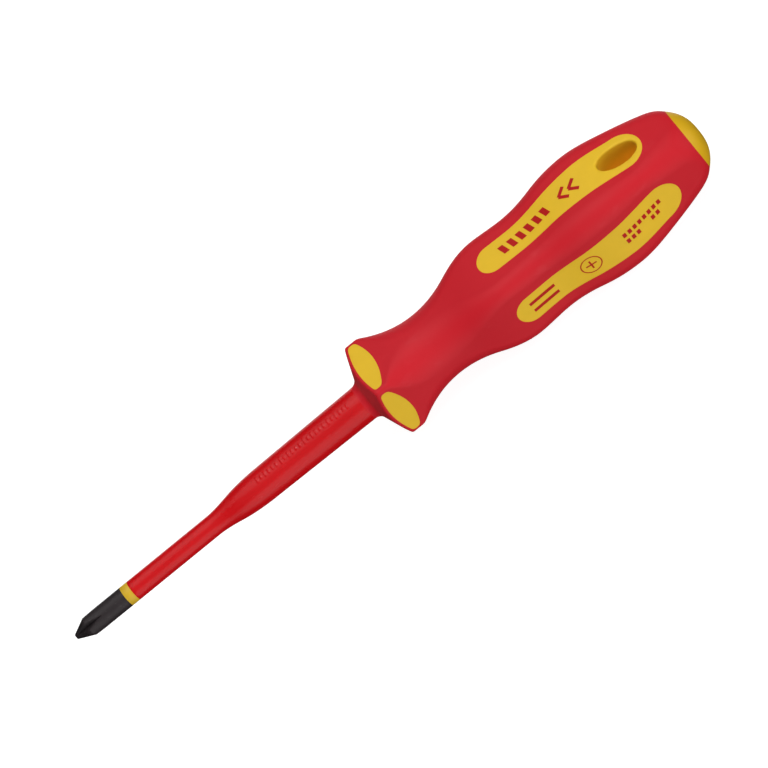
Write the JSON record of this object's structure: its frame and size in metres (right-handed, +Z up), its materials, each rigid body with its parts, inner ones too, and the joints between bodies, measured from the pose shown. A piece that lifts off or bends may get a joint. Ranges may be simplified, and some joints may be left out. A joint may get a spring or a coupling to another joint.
{
  "type": "insulated screwdriver",
  "caption": "Insulated cross-point screwdriver with a sleeved slim blade, a flared finger guard and a soft-grip handle with hard windows and an oval hang hole.",
  "frame": {"origin": "the middle of the small flat at the end of the cross tip, on the tool axis", "axes": "+X along the tool axis from the tip to the end cap, +Z up through one long window and the hang hole, +Y through the next window round"},
  "size_m": [0.214, 0.028, 0.028],
  "materials": {
    "blackened_steel": "satin, chemically blackened",
    "yellow_insulation": "satin",
    "red_insulation": "semi-gloss",
    "core_plastic": "as moulded",
    "yellow_body": "fine satin",
    "red_soft_grip": "matte, soft to the touch",
    "cap_plastic": "slightly translucent satin"
  },
  "bodies": {
    "root": {"blade": "blackened_steel", "inner_insulation": "yellow_insulation", "outer_insulation": "red_insulation", "inner_core": "core_plastic", "handle_body": "yellow_body", "soft_grip": "red_soft_grip", "end_cap": "cap_plastic"}
  },
  "joints": []
}
